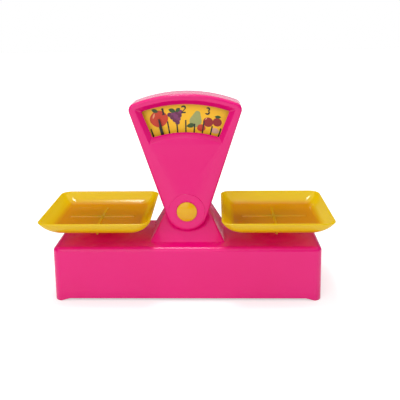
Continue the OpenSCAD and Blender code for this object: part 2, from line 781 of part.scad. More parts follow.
module toothed_sector() {
    pitch_angle = 360 / sector_teeth;
    root = sector_r - module_size * (dedendum_share + shift_share);
    half_angle = pitch_angle * sector_half_teeth;
    difference() {
        union() {
            polygon([[-stalk_half_w, 0], [stalk_half_w, 0], [root * sin(half_angle), root * cos(half_angle)],
                     [-root * sin(half_angle), root * cos(half_angle)]]);
            intersection() {
                circle(root, $fn = round_steps);
                polygon([[0, 0], 2 * root * [sin(half_angle), cos(half_angle)],
                         2 * root * [-sin(half_angle), cos(half_angle)]]);
            }
            for (k = [-sector_half_teeth:sector_half_teeth - 1]) rotate(90 + (k + 0.5) * pitch_angle)
                polygon(tooth(sector_teeth, -shift_share));
        }
        translate([0, (beam_mid_half_h + root) / 2]) circle(stalk_half_w - beam_rim_t);
    }
}

module rocker_beam() {
    color(WHITE) translate([0, 0, beam_z]) difference() {
        union() {
            difference() {
                upright(-beam_width / 2, beam_width / 2) beam_side();
                for (s = [-1, 1]) translate([0, s * (beam_width + beam_web_t) / 2, 0])
                    upright(-beam_width / 2, beam_width / 2) beam_pocket();
            }
            upright(-sector_t / 2, sector_t / 2) toothed_sector();
            pin_y(0, 0, beam_hub_r, -beam_hub_l / 2, beam_hub_l / 2);
            for (s = [-1, 1]) translate([s * tray_x, 0, pad_rise - pad_t]) cylinder(r = pad_r, h = pad_t);
            for (s = [-1, 1]) translate([s * tray_x, 0, beam_end_rise])
                cylinder(r = beam_width / 2, h = pad_rise - beam_end_rise);
        }
        pin_y(0, 0, beam_pin_r + running_gap, -beam_hub_l, beam_hub_l);
    }
}

module pointer_axle() {
    color(STEEL) pin_y(0, axle_z, pointer_pin_r, needle_hub_front_y - axle_tail, pointer_back_y + axle_tail);
}

module pointer_pinion() {
    root = pinion_r - module_size * (dedendum_share - shift_share);
    face = sector_t + 2 * pinion_margin;
    color(WHITE) upright(-face / 2, face / 2) translate([0, axle_z]) difference() {
        union() {
            circle(root);
            for (k = [0:pinion_teeth - 1]) rotate(-90 + k * 360 / pinion_teeth)
                polygon(tooth(pinion_teeth, shift_share));
        }
        circle(pointer_pin_r + press_gap);
    }
}

module pointer_collar() {
    color(WHITE) difference() {
        pin_y(0, axle_z, collar_r, frame_y + fit_gap, pointer_back_y);
        pin_y(0, axle_z, pointer_pin_r + press_gap, frame_y, pointer_back_y + overrun);
    }
}

module pointer() {
    shank = needle_l - needle_tip_l;
    color(BLACK) difference() {
        union() {
            pin_y(0, axle_z, needle_hub_r, needle_hub_front_y, needle_hub_back_y);
            upright(needle_y - needle_t / 2, needle_y + needle_t / 2)
                translate([0, axle_z]) rotate(needle_rest_angle) polygon([
                    [-tail_w / 2, -tail_l], [tail_w / 2, -tail_l], [needle_w / 2, 0], [needle_w / 2, shank],
                    [needle_tip_w / 2, needle_l], [-needle_tip_w / 2, needle_l], [-needle_w / 2, shank],
                    [-needle_w / 2, 0]]);
        }
        pin_y(0, axle_z, pointer_pin_r + press_gap, needle_hub_front_y - overrun,
              needle_hub_back_y + overrun);
    }
}

module plunger(x) {
    color(YELLOW) translate([x, 0, 0]) union() {
        translate([0, 0, plunger_low_z + plunger_dome_h]) {
            mirror([0, 0, 1]) dome(plunger_foot_r, plunger_dome_h);
            cylinder(r = plunger_foot_r, h = plunger_foot_t);
        }
        translate([0, 0, plunger_foot_top_z]) {
            cylinder(r = stem_r, h = rib_low_z - plunger_foot_top_z);
            cylinder(r = peg_r, h = tray_under_z - plunger_foot_top_z);
            translate([-key_w / 2, 0, 0]) cube([key_w, stem_r + key_reach, rib_low_z - plunger_foot_top_z]);
        }
    }
}

// Ring of a tray: a share of 0 is the floor's edge and 1 is the rim, along a curved wall
function tray_ring(x, share, grow, z) =
    let (half = tray_size / 2 - tray_flare * (1 - share) + grow,
         r = tray_floor_corner_r + (tray_corner_r - tray_floor_corner_r) * share + grow)
    box_ring(x - half, x + half, -half, half, r, z);

function wall_share(t) = wall_curve_share * sin(90 * t) + (1 - wall_curve_share) * t;
function wall_rise(t) = wall_curve_share * (1 - cos(90 * t)) + (1 - wall_curve_share) * t;

module tray(x) {
    rim_z = tray_floor_z + tray_h;
    inside = [for (i = [0:tray_curve_steps]) let (t = i / tray_curve_steps)
              tray_ring(x, wall_share(t), -tray_wall, tray_floor_z + tray_h * wall_rise(t))];
    outside = [for (i = [tray_curve_steps:-1:0]) let (t = i / tray_curve_steps)
               tray_ring(x, wall_share(t), 0,
                         tray_under_z + (tray_h + tray_wall - tray_lip) * wall_rise(t))];
    color(YELLOW) difference() {
        union() {
            loft(concat(inside, [tray_ring(x, 1, 0, rim_z)], outside), flip = true);
            translate([x, 0, tray_floor_z - mark_h]) {
                translate([-mark_x, -mark_w / 2, 0]) cube([2 * mark_x, mark_w, 2 * mark_h]);
                translate([-mark_w / 2, -mark_y, 0]) cube([mark_w, 2 * mark_y, 2 * mark_h]);
            }
            translate([x, 0, rib_low_z]) {
                translate([-rib_reach, -rib_t / 2, 0]) cube([2 * rib_reach, rib_t, rib_h + tray_wall / 2]);
                translate([-rib_t / 2, -rib_reach, 0]) cube([rib_t, 2 * rib_reach, rib_h + tray_wall / 2]);
                cylinder(r = hub_r, h = rib_h + tray_wall / 2);
            }
        }
        translate([x, 0, rib_low_z - overrun]) cylinder(r = peg_r + press_gap, h = rib_h + overrun);
    }
}

module plunger_left() { plunger(-tray_x); }
module plunger_right() { plunger(tray_x); }
module tray_left() { tray(-tray_x); }
module tray_right() { tray(tray_x); }

base_shell();
base_cover();
cover_screws();
tower_body();
tower_back();
tower_screws();
dial_bezel();
bezel_screws();
hub_cap();
dial_card();
movement_frame();
frame_screws();
beam_axle();
beam_axle_clips();
rocker_beam();
pointer_axle();
pointer_pinion();
pointer_collar();
pointer();
plunger_left();
plunger_right();
tray_left();
tray_right();
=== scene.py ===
import json
import math

import bmesh
import bpy
import numpy as np
from mathutils import Matrix, Vector
from mathutils.geometry import tessellate_polygon

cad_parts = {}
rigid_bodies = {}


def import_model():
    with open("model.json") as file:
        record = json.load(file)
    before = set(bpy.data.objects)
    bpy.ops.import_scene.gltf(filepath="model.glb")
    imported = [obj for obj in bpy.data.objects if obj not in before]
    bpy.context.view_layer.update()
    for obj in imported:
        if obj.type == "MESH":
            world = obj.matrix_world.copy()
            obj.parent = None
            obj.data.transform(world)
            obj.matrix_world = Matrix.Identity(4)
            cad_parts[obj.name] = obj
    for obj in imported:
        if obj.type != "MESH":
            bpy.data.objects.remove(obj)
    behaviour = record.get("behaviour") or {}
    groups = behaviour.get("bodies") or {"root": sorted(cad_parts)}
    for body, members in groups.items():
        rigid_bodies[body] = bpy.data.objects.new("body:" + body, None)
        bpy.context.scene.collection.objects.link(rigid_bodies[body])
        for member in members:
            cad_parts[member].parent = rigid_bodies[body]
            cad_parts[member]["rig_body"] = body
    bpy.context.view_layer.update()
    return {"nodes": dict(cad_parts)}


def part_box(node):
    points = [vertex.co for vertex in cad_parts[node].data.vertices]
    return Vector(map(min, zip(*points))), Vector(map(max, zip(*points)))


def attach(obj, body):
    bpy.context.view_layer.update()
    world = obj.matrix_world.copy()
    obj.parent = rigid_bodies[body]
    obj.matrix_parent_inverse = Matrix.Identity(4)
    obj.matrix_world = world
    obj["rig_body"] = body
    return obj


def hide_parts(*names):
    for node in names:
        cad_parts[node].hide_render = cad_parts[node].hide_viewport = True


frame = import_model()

# Camera: the photograph's viewpoint, a little right of the middle and 18 degrees down.
# Its place, turn and lens were fitted to points of the photograph with the part's sizes held fixed.
MM = 0.001
camera_place, lens_mm, sensor_mm = (28.7, -578.8, 281.4), 51.92, 36
yaw, pitch, roll = np.radians([-1.559, 17.877, -0.673])
ahead = np.array([math.sin(yaw) * math.cos(pitch), math.cos(yaw) * math.cos(pitch), -math.sin(pitch)])
level = np.array([math.cos(yaw), -math.sin(yaw), 0.0])
upright = np.cross(level, ahead)
right = level * math.cos(roll) + upright * math.sin(roll)
up = upright * math.cos(roll) - level * math.sin(roll)
camera = bpy.data.objects.new("camera", bpy.data.cameras.new("camera"))
camera.matrix_world = (Matrix.Translation(Vector(camera_place) * MM)
                       @ Matrix((right, up, -ahead)).transposed().to_4x4())
camera.data.sensor_width = sensor_mm
camera.data.lens = lens_mm
bpy.context.scene.collection.objects.link(camera)
bpy.context.scene.camera = camera
bpy.context.scene.view_settings.view_transform = "Standard"

# Studio: a seamless white table under soft white light from all round.
# The table is plain white board that takes a soft shadow. A glow that grows outwards, seen only by rays of the
# camera, of mirrors and of glass, brings it to the white of the backdrop.
table_half, glow_near, glow_far, near_r, far_r = 4.0, 0.46, 0.9, 0.15, 0.9
ambient_strength, backdrop_strength = 0.8, 1.0


def linear(colour):
    """sRGB hex colour to linear red, green, blue, alpha: the straight part below 0.04045, the 2.4 power above."""
    c = np.array([int(colour[i:i + 2], 16) for i in (1, 3, 5)]) / 255
    return tuple(np.where(c <= 0.04045, c / 12.92, ((c + 0.055) / 1.055) ** 2.4)) + (1.0,)


def add(tree, kind, sockets=(), **settings):
    """Adds one shader node: settings are its properties, sockets a dict of socket to value or to an output."""
    made = tree.nodes.new("ShaderNode" + kind)
    for name, value in settings.items():
        setattr(made, name, value)
    for name, value in dict(sockets).items():
        if isinstance(value, bpy.types.NodeSocket):
            tree.links.new(value, made.inputs[name])
        else:
            made.inputs[name].default_value = value
    return made


def empty_material(name):
    """A new material with only its output node; returns the material, its tree and the output."""
    made = bpy.data.materials.new(name)
    made.use_nodes = True
    made.node_tree.nodes.clear()
    return made, made.node_tree, add(made.node_tree, "OutputMaterial")


def looked_at(tree):
    """One for rays of the camera, of mirrors and of glass, and zero for the rest: the largest of the three."""
    rays = add(tree, "LightPath").outputs
    both = add(tree, "Math", {0: rays["Is Camera Ray"], 1: rays["Is Glossy Ray"]}, operation="MAXIMUM")
    return add(tree, "Math", {0: both.outputs[0], 1: rays["Is Transmission Ray"]}, operation="MAXIMUM").outputs[0]


board, tree, out = empty_material("white_table_board")
white = add(tree, "BsdfPrincipled", {"Base Color": linear("#dcdcdc"), "Roughness": 0.7, "Specular IOR Level": 0.2})
reach = add(tree, "VectorMath", {0: add(tree, "TexCoord").outputs["Object"]}, operation="LENGTH")
fade = add(tree, "MapRange", {"Value": reach.outputs["Value"], "From Min": near_r, "From Max": far_r,
                              "To Min": glow_near, "To Max": glow_far})
glow = add(tree, "Emission", {"Color": (1, 1, 1, 1), "Strength": fade.outputs[0]})
seen = add(tree, "MixShader", {0: looked_at(tree), 2: glow.outputs[0]})
lit = add(tree, "AddShader", {0: white.outputs[0], 1: seen.outputs[0]})
tree.links.new(lit.outputs[0], out.inputs["Surface"])
table = bpy.data.meshes.new("table")
table.from_pydata([(x, y, 0) for x, y in np.array([(-1, -1), (1, -1), (1, 1), (-1, 1)]) * table_half], [],
                  [(0, 1, 2, 3)])
table.materials.append(board)
table = bpy.data.objects.new("table", table)
bpy.context.scene.collection.objects.link(table)

world = bpy.data.worlds.new("studio")
world.use_nodes = True
world.node_tree.nodes.clear()
tree = world.node_tree
ambient = add(tree, "Background", {"Color": (1, 1, 1, 1), "Strength": ambient_strength})
backdrop = add(tree, "Background", {"Color": (1, 1, 1, 1), "Strength": backdrop_strength})
choice = add(tree, "MixShader", {0: looked_at(tree), 1: ambient.outputs[0], 2: backdrop.outputs[0]})
tree.links.new(choice.outputs[0], add(tree, "OutputWorld").inputs["Surface"])
bpy.context.scene.world = world

# Flags: grey woven cloth stands round the table, and a grey mat lies behind the object; only mirrors see them.
# They dim what the glossy plastic mirrors. Behind the object their hem is lifted, so the head's roof stays pale.
# The wave texture repeats after 0.31 of its unit, so the cloth's threads are 1.6 mm apart.
flag_steps, flag_r, flag_top, hem_low, hem_lifted, lift_half_turn = 96, 2.3, 2.4, 0.2, 0.62, 17
mat_half_x, mat_near_y, mat_far_y, mat_z = 0.9, 0.13, 1.1, 0.004
cloth, tree, out = empty_material("grey_cloth_flag")
weave = add(tree, "TexWave", {"Vector": add(tree, "TexCoord").outputs["Object"], "Scale": 1 / (5 * MM)})
thread = add(tree, "MixRGB", {0: weave.outputs["Fac"], 1: linear("#4c4c4c"), 2: linear("#585858")})
dull = add(tree, "BsdfPrincipled", {"Base Color": thread.outputs[0], "Roughness": 0.9})
tree.links.new(dull.outputs[0], out.inputs["Surface"])
turn = np.linspace(-np.pi, np.pi, flag_steps, endpoint=False)
hem = np.where(np.abs(turn) < np.radians(lift_half_turn), hem_lifted, hem_low)
flag_rings = np.stack([np.stack([flag_r * np.sin(turn), flag_r * np.cos(turn), z], 1)
                       for z in (hem, np.full(flag_steps, flag_top))])
i = np.arange(flag_steps)
k = (i + 1) % flag_steps
flags = bpy.data.meshes.new("flags")
flags.from_pydata(flag_rings.reshape(-1, 3).tolist(), [],
                  np.stack([i, k, k + flag_steps, i + flag_steps], 1).tolist())
mat = bpy.data.meshes.new("mat_behind")
mat.from_pydata([(-mat_half_x, mat_near_y, mat_z), (mat_half_x, mat_near_y, mat_z), (mat_half_x, mat_far_y, mat_z),
                 (-mat_half_x, mat_far_y, mat_z)], [], [(0, 1, 2, 3)])
for mesh in (flags, mat):
    mesh.materials.append(cloth)
    drape = bpy.data.objects.new(mesh.name, mesh)
    drape.visible_camera = drape.visible_diffuse = drape.visible_transmission = drape.visible_shadow = False
    bpy.context.scene.collection.objects.link(drape)

# Lamps: a wide softbox in front, high and to the left, gives the fronts their broad soft light.
# A small one above the object lights its tops and gives the soft shadow under it.
aim = Vector((0, 0, 0.1))
for name, place, size, watts in (("softbox_front", (-0.45, -1.3, 0.8), 1.2, 7.0),
                                 ("softbox_above", (-0.12, 0.06, 1.4), 0.3, 6.5)):
    box = bpy.data.lights.new(name, "AREA")
    box.shape, box.size, box.energy = "SQUARE", size, watts
    lamp = bpy.data.objects.new(name, box)
    lamp.location = place
    lamp.rotation_euler = (aim - Vector(place)).to_track_quat("-Z", "Y").to_euler()
    bpy.context.scene.collection.objects.link(lamp)

# Base: a long open-bottomed box moulded in pink ABS, with rounded top edges and four corner feet.
# Two shallow domes carry the guide bores of the plungers; a hatch under the pedestal lets the needle through.
merge_distance = 2e-6
base_l, base_w, base_h, base_draft, base_corner, base_edge, wall = 275.5, 90.0, 58.0, 1.4, 8.0, 5.0, 2.2
foot_h, foot_l, foot_tip = 2.6, 16.0, 7.0
rim_ease, rim_ease_mid = 0.5, 0.15
tray_x, dome_r, dome_h, dome_smooth_r, dome_mouth_r = 91.0, 28.0, 3.6, 26.6, 8.9
# The soft foot where a dome leaves the top: radius, height. The eased mouth of its bore: growth, depth.
dome_foot = [(29.4, 0.0), (28.7, 0.07), (27.9, 0.21), (27.3, 0.34)]
mouth_ease = [(0.5, 0.0), (0.14, 0.12), (0.0, 0.5)]
guide_r, guide_wall, key_half, key_reach, guide_low_z = 6.06, 3.7, 1.15, 7.71, 43.7
hatch_half, hatch_back, hatch_front = 12, 11.2, -16
tower_hole_x, tower_hole_ys, tower_hole_r = 25.3, (-11.96, 26.8), 1.8
cover_boss_x, cover_boss_y, cover_boss_r, cover_boss_low_z, cover_bore_depth = 120.35, 33.6, 4.4, 6.2, 9.0
frame_boss_x, frame_boss_y, frame_boss_r, frame_boss_low_z, frame_bore_depth = 19.0, 5.6, 3.4, 47.8, 7.0
screw_bore, boss_root = 1.52, 1.0
ceiling_z = base_h - wall


def moulded_plastic(name, body, deep, roughness=0.2, shine=0.35, through=0.0, low=None, low_z=(0.0, 1.0)):
    """Injection-moulded plastic: even strong colour, high gloss, a soft wave where walls shrank in the mould.
    through is the share of the light that a thin wall of a pale colour lets through. low is a painted shade: a
    deeper colour that everything below a band of heights in mm takes, blended across the band; it stands in for
    the light that a floor loses and for the base below glowing through it. Colour drifts over 60 mm, haze over
    4 mm, and sink waves are 35 mm wide. The mould's polish is finer than 0.1 mm and is drawn at 0.9 mm, so that
    it can show."""
    drift_mm, haze_mm, sink_mm, grain_mm, ior = 60, 4, 35, 0.9, 1.53
    made, tree, out = empty_material(name)
    at = add(tree, "TexCoord").outputs["Object"]
    drift = add(tree, "TexNoise", {"Vector": at, "Scale": 1 / (drift_mm * MM), "Detail": 2.0})
    tint = add(tree, "MixRGB", {0: drift.outputs["Fac"], 1: linear(body), 2: linear(deep)})
    # Painted shade: below the band of heights the low colour takes the place of the body colour. It stands in for
    # the light a floor loses and for the base below glowing through it.
    if low:
        height = add(tree, "MapRange", {"Value": add(tree, "SeparateXYZ", {0: at}).outputs["Z"],
                                        "From Min": low_z[0] * MM, "From Max": low_z[1] * MM})
        tint = add(tree, "MixRGB", {0: height.outputs[0], 1: linear(low), 2: tint.outputs[0]})
    haze = add(tree, "TexNoise", {"Vector": at, "Scale": 1 / (haze_mm * MM), "Detail": 6.0})
    rough = add(tree, "MapRange", {"Value": haze.outputs["Fac"], "From Min": 0.3, "From Max": 0.7,
                                   "To Min": roughness - 0.02, "To Max": roughness + 0.03})
    sink = add(tree, "TexNoise", {"Vector": at, "Scale": 1 / (sink_mm * MM), "Detail": 1.0})
    wave = add(tree, "Bump", {"Height": sink.outputs["Fac"], "Strength": 0.1, "Distance": 0.8 * MM})
    grain = add(tree, "TexNoise", {"Vector": at, "Scale": 1 / (grain_mm * MM), "Detail": 3.0})
    skin = add(tree, "Bump", {"Height": grain.outputs["Fac"], "Strength": 0.02, "Distance": 0.03 * MM,
                              "Normal": wave.outputs["Normal"]})
    shader = add(tree, "BsdfPrincipled", {"Base Color": tint.outputs[0], "Roughness": rough.outputs[0],
                                          "IOR": ior, "Specular IOR Level": shine, "Normal": skin.outputs["Normal"]})
    if through:
        back = add(tree, "BsdfTranslucent", {"Color": tint.outputs[0], "Normal": skin.outputs["Normal"]})
        shader = add(tree, "MixShader", {0: through, 1: shader.outputs[0], 2: back.outputs[0]})
    tree.links.new(shader.outputs[0], out.inputs["Surface"])
    return made


def plan_ring(half_x, half_y, r, z, cx=0.0, cy=0.0, corner=14, runs=(np.array([0.0]), np.array([0.0]))):
    """Rounded rectangle seen from above: four quarter arcs of radius r about the inset corners, and points at
    given shares of the straight runs between them."""
    a = np.radians(np.linspace(0, 90, corner + 1))
    arc = np.stack([np.cos(a), np.sin(a)], 1)
    parts = []
    for i, (sx, sy) in enumerate(((1, 1), (-1, 1), (-1, -1), (1, -1))):
        turn = arc if i % 2 == 0 else arc[::-1]
        parts.append(np.array([sx * (half_x - r), sy * (half_y - r)]) + r * turn * [sx, sy])
    points = []
    for i, part in enumerate(parts):
        share = runs[i % 2][runs[i % 2] > 0]
        ahead_point = parts[(i + 1) % 4][0]
        points += [part, part[-1] + share[:, None] * (ahead_point - part[-1])]
    flat = np.concatenate(points) + [cx, cy]
    return np.column_stack([flat, np.broadcast_to(z, len(flat))])


def circle_ring(cx, cy, r, z, count=96):
    """Circle about an upright axis, anticlockwise: the centre plus r times the cosine and sine of the angle."""
    a = np.linspace(0, 2 * np.pi, count, endpoint=False)
    return np.stack([cx + r * np.cos(a), cy + r * np.sin(a), np.full(count, z)], 1)


def boss(cx, cy, r, bore, low_z, high_z, depth, ease=0.3, count=32):
    """Screw boss as one closed skin: outside, lower face, blind bore. Returns its rings and its flat ends."""
    rows = [(r, high_z), (r, low_z + ease), (r - ease, low_z), (bore + ease, low_z), (bore, low_z + ease),
            (bore, low_z + depth)]
    rings = np.stack([circle_ring(cx, cy, radius, z, count) for radius, z in rows])
    return rings, [[rings[0]], [rings[-1]]]


def make_piece(name, patches, flats, material, body, node=None, crisp=32.0):
    """Joins skins of stacked rings, and flat faces given as an outline and its holes, into one closed mesh
    in metres: doubles merged, faces turned outwards, and edges sharper than crisp degrees kept sharp."""
    vertices, faces, start = [], [], 0
    for rings in patches:
        rows, count, _ = rings.shape
        i, j = np.meshgrid(np.arange(rows - 1) * count, np.arange(count), indexing="ij")
        k = (j + 1) % count
        faces += (np.stack([i + j, i + k, i + count + k, i + count + j], -1).reshape(-1, 4) + start).tolist()
        vertices.append(rings.reshape(-1, 3))
        start += rows * count
    for loops in flats:
        triangles = tessellate_polygon([[Vector(p) for p in loop] for loop in loops])
        faces += (np.array(triangles) + start).tolist()
        vertices.append(np.concatenate(loops))
        start += len(vertices[-1])
    mesh = bpy.data.meshes.new(name)
    mesh.from_pydata((np.concatenate(vertices) * MM).tolist(), [], faces)
    bm = bmesh.new()
    bm.from_mesh(mesh)
    bmesh.ops.remove_doubles(bm, verts=bm.verts, dist=merge_distance)
    bmesh.ops.dissolve_degenerate(bm, edges=bm.edges, dist=1e-7)
    bmesh.ops.recalc_face_normals(bm, faces=bm.faces)
    shade_skin(bm, mesh, crisp)
    return place_piece(name, mesh, material, body, node)


def shade_skin(bm, mesh, crisp):
    """Smooths the faces, keeps the edges sharper than crisp degrees sharp, and writes the skin to its mesh."""
    for face in bm.faces:
        face.smooth = True
    for edge in bm.edges:
        edge.smooth = len(edge.link_faces) == 2 and edge.calc_face_angle(math.pi) < math.radians(crisp)
    bm.to_mesh(mesh)
    bm.free()


def place_piece(name, mesh, material, body, node=None):
    """Makes the object, gives it its material and slot, and lets it ride on its body in a node's stead."""
    mesh.materials.clear()
    mesh.materials.append(material)
    piece = bpy.data.objects.new(name, mesh)
    bpy.context.scene.collection.objects.link(piece)
    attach(piece, body)
    if node:
        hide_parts(node)
    return piece


pink = moulded_plastic("pink_abs_moulded", "#e6087c", "#e00470")
# Points on the straight runs, as shares of their length: close together near the feet, to meet their shoulders.
long_shares = np.concatenate([[0.0, 0.012, 0.03125, 0.05], np.linspace(0.1, 0.9, 17), [0.95, 0.96875, 0.988]])
short_shares = np.concatenate([[0.0, 0.05, 0.108, 0.15], np.linspace(0.25, 0.75, 7), [0.85, 0.892, 0.95]])


def foot_line(x, y):
    """Height of the base's lower rim: zero on the corner feet, rising on a straight shoulder to foot_h."""
    def along(distance, half):
        return np.interp(half - np.abs(distance), [foot_tip, foot_l], [0.0, foot_h])
    return np.maximum(along(x, base_l / 2), along(y, base_w / 2))


def base_ring(inset, z, over_foot=None):
    """Ring of the drafted base at a height, or at a height above the foot line where over_foot is given."""
    taper = base_draft * z / base_h
    ring = plan_ring(base_l / 2 - taper - inset, base_w / 2 - taper - inset, base_corner - inset, z,
                     runs=(long_shares, short_shares))
    if over_foot is not None:
        ring[:, 2] = foot_line(ring[:, 0], ring[:, 1]) + over_foot
    return ring


def keyed_ring(cx, grow, z, count=144):
    """Guide bore seen from above: the larger of the round bore and its square key slot in each direction."""
    a = np.linspace(0, 2 * np.pi, count, endpoint=False)
    side = (key_half + grow) / np.maximum(np.abs(np.cos(a)), 1e-6)
    back = (key_reach + grow) / np.maximum(np.sin(a), 1e-6)
    r = np.maximum(guide_r + grow, np.where(np.sin(a) > 0, np.minimum(side, back), 0.0))
    return np.stack([cx + r * np.cos(a), r * np.sin(a), np.full(count, z)], 1)


turns = np.radians(np.linspace(0, 90, 11))
inner_edge = base_edge - wall
walls = ([base_ring(wall + inner_edge * (1 - math.cos(t)), ceiling_z - inner_edge * (1 - math.sin(t)))
          for t in turns[::-1]]
         + [base_ring(wall, 30.0), base_ring(wall, 4.0), base_ring(wall, 0.0, rim_ease),
            base_ring(wall - rim_ease_mid, 0.0, rim_ease_mid), base_ring(wall - rim_ease, 0.0, 0.0),
            base_ring(rim_ease, 0.0, 0.0), base_ring(rim_ease_mid, 0.0, rim_ease_mid),
            base_ring(0.0, 0.0, rim_ease), base_ring(0.0, 4.0), base_ring(0.0, 20.0), base_ring(0.0, 40.0)]
         + [base_ring(base_edge * (1 - math.cos(t)), base_h - base_edge * (1 - math.sin(t))) for t in turns])
ball_r = (dome_r ** 2 + dome_h ** 2) / (2 * dome_h)
hatch = [np.array([[hatch_half, hatch_back, z], [-hatch_half, hatch_back, z], [-hatch_half, hatch_front, z],
                   [hatch_half, hatch_front, z]]) for z in (base_h, ceiling_z)]
patches = [np.stack(walls), np.stack(hatch)]
top_loops, ceiling_loops = [walls[-1], hatch[0]], [walls[0], hatch[1]]
tube = guide_r + guide_wall
radii, inner_radii = np.linspace(dome_smooth_r, dome_mouth_r, 14), np.linspace(tube, dome_r, 10)
rise, inner_rise = [np.sqrt(ball_r ** 2 - r ** 2) - ball_r + dome_h for r in (radii, inner_radii)]
mouth_z = base_h + (float(rise[-1]) + 0.06)
for cx in (-tray_x, tray_x):
    rows = ([circle_ring(cx, 0, r, base_h + z, 144) for r, z in dome_foot]
            + [circle_ring(cx, 0, r, base_h + z, 144) for r, z in zip(radii, rise)]
            + [keyed_ring(cx, grow, mouth_z - drop) for grow, drop in mouth_ease]
            + [keyed_ring(cx, 0.0, guide_low_z + 0.3), keyed_ring(cx, 0.3, guide_low_z),
               circle_ring(cx, 0, tube, guide_low_z, 144)]
            + [circle_ring(cx, 0, r, ceiling_z + z, 144) for r, z in zip(inner_radii, inner_rise)])
    patches.append(np.stack(rows))
    top_loops.append(rows[0])
    ceiling_loops.append(rows[-1])
for sx, y in [(sx, y) for y in tower_hole_ys for sx in (-1, 1)]:
    rows = [circle_ring(sx * tower_hole_x, y, tower_hole_r, z, 24) for z in (base_h, ceiling_z)]
    patches.append(np.stack(rows))
    top_loops.append(rows[0])
    ceiling_loops.append(rows[-1])
flats = [top_loops, ceiling_loops]
cover_bosses = [(sx * cover_boss_x, sy * cover_boss_y, cover_boss_r, cover_boss_low_z, cover_bore_depth)
                for sx in (-1, 0, 1) for sy in (-1, 1)]
frame_bosses = [(sx * frame_boss_x, sy * frame_boss_y, frame_boss_r, frame_boss_low_z, frame_bore_depth)
                for sx in (-1, 1) for sy in (-1, 1)]
for cx, cy, r, low_z, depth in cover_bosses + frame_bosses:
    rings, ends = boss(cx, cy, r, screw_bore, low_z, ceiling_z + boss_root, depth)
    patches.append(rings)
    flats += ends
make_piece("base", patches, flats, pink, "housing", "base_shell")

# Bottom cover and all the screws: the cover is a flat pink plate let into the base, held by six screws.
# The screws are cold-headed steel pan heads with a cross recess, zinc plated, so they look pale and bright.


def plated_steel(name):
    """Zinc-plated steel: bright grey metal, faintly mottled over 0.8 mm by the plating, roughness about 0.3."""
    made, tree, out = empty_material(name)
    at = add(tree, "TexCoord").outputs["Object"]
    marks = add(tree, "TexNoise", {"Vector": at, "Scale": 1 / (0.8 * MM), "Detail": 4.0})
    rough = add(tree, "MapRange", {"Value": marks.outputs["Fac"], "To Min": 0.22, "To Max": 0.42})
    tint = add(tree, "MixRGB", {0: marks.outputs["Fac"], 1: linear("#c9ccd0"), 2: linear("#b4b7bb")})
    shader = add(tree, "BsdfPrincipled", {"Base Color": tint.outputs[0], "Metallic": 1.0,
                                          "Roughness": rough.outputs[0]})
    tree.links.new(shader.outputs[0], out.inputs["Surface"])
    return made


def smooth_copy(node, name, material, crisp=30.0):
    """Copy of a CAD node's mesh with its loose triangles merged, and edges sharper than crisp kept sharp."""
    source = frame["nodes"][node]
    mesh = source.data.copy()
    mesh.name = name
    bm = bmesh.new()
    bm.from_mesh(mesh)
    bmesh.ops.remove_doubles(bm, verts=bm.verts, dist=merge_distance)
    shade_skin(bm, mesh, crisp)
    return place_piece(name, mesh, material, source["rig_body"], node)


steel = plated_steel("zinc_plated_steel")
smooth_copy("base_cover", "bottom_cover", pink)
smooth_copy("cover_screws", "bottom_cover_screws", steel)
smooth_copy("tower_screws", "pedestal_screws", steel)
smooth_copy("bezel_screws", "dial_front_screws", steel)
smooth_copy("frame_screws", "bracket_screws", steel)

# Pedestal and dial pan: the front half of the hollow pedestal and the fan-shaped pan are one pink moulding.
# The rear half is a second moulding, screwed from below; a shadow line runs round where the two meet.
smooth_copy("tower_body", "pedestal_front_and_pan", pink)
smooth_copy("tower_back", "pedestal_rear", pink)

# Dial front: the fan-shaped pink front shell with its sloping window frame and the raised disc for the cap.
# One ABS moulding, set on the pan's rim with a lip and held by four screws from behind.
axle_z, end_rise, end_r, head_r = 61.5, 28.0, 21.4, 146.8
head_angle, head_corner, face_y, rim_y, edge_r = 17.8, 7.0, -22.0, -18.4, 2.6
bevel_w, bevel_back_y, disc_r, disc_rise, disc_edge = 4.6, -17.0, 18.4, 0.8, 0.35
window_in_top, window_in_low, window_in_side_top, window_in_side_low = 10.4, 37.8, 12.2, 13.8
cap_seat_r, cap_bore_r, cap_socket_r, cap_socket_y = 10.75, 4.02, 6.2, -16.8
post_lift, post_gap, post_in, post_r = 10.0, 1.6, 6.0, 3.0
post_mouth_r, post_end_y, post_bore_end_y = 1.8, 6.0, -2.0
end_z, inner_y, seat_y = axle_z + end_rise, face_y + wall, face_y - disc_rise
sin_a, cos_a = math.sin(math.radians(head_angle)), math.cos(math.radians(head_angle))


def side_x(rise):
    """Half width of the head's straight sides at a height above the pointer's axle."""
    return (end_r + (rise - end_rise) * sin_a) / cos_a


window_high_r, window_low_r = head_r - window_in_top, head_r - window_in_low
window_high_half = side_x(window_high_r * cos_a) - window_in_side_top
window_low_half = side_x(window_low_r * cos_a) - window_in_side_low


def arc_points(centre, r, start, stop, steps):
    """Points of an arc in the dial's plane, angles in degrees from the X axis."""
    a = np.radians(np.linspace(start, stop, steps + 1))
    return np.array(centre) + r * np.stack([np.cos(a), np.sin(a)], 1)


def both_sides(half, y):
    """Mirrors a half outline, from bottom middle to top middle, and stands it up in the dial's plane at depth y."""
    whole = np.concatenate([half, (half[1:-1] * [-1, 1])[::-1]])
    return np.stack([whole[:, 0], np.full(len(whole), y), whole[:, 1] + axle_z], 1)


def head_ring(inset, y):
    """Outline of the fan: round lower end, straight leaning sides, round corners, and a top arc about the axle."""
    corner = max(head_corner - inset, head_corner / 4)
    normal, along = np.array([cos_a, -sin_a]), np.array([sin_a, cos_a])
    low = np.array([0.0, end_rise])
    q = low + (end_r - inset - corner) * normal
    reach = head_r - inset - corner
    k = q + (-q @ along + math.sqrt((q @ along) ** 2 - q @ q + reach ** 2)) * along
    top = math.degrees(math.atan2(k[1], k[0]))
    half = np.concatenate([arc_points(low, end_r - inset, -90, -head_angle, 28),
                           arc_points(k, corner, -head_angle, top, 14),
                           arc_points((0, 0), head_r - inset, top, 90, 24)[1:]])
    return both_sides(half, y)


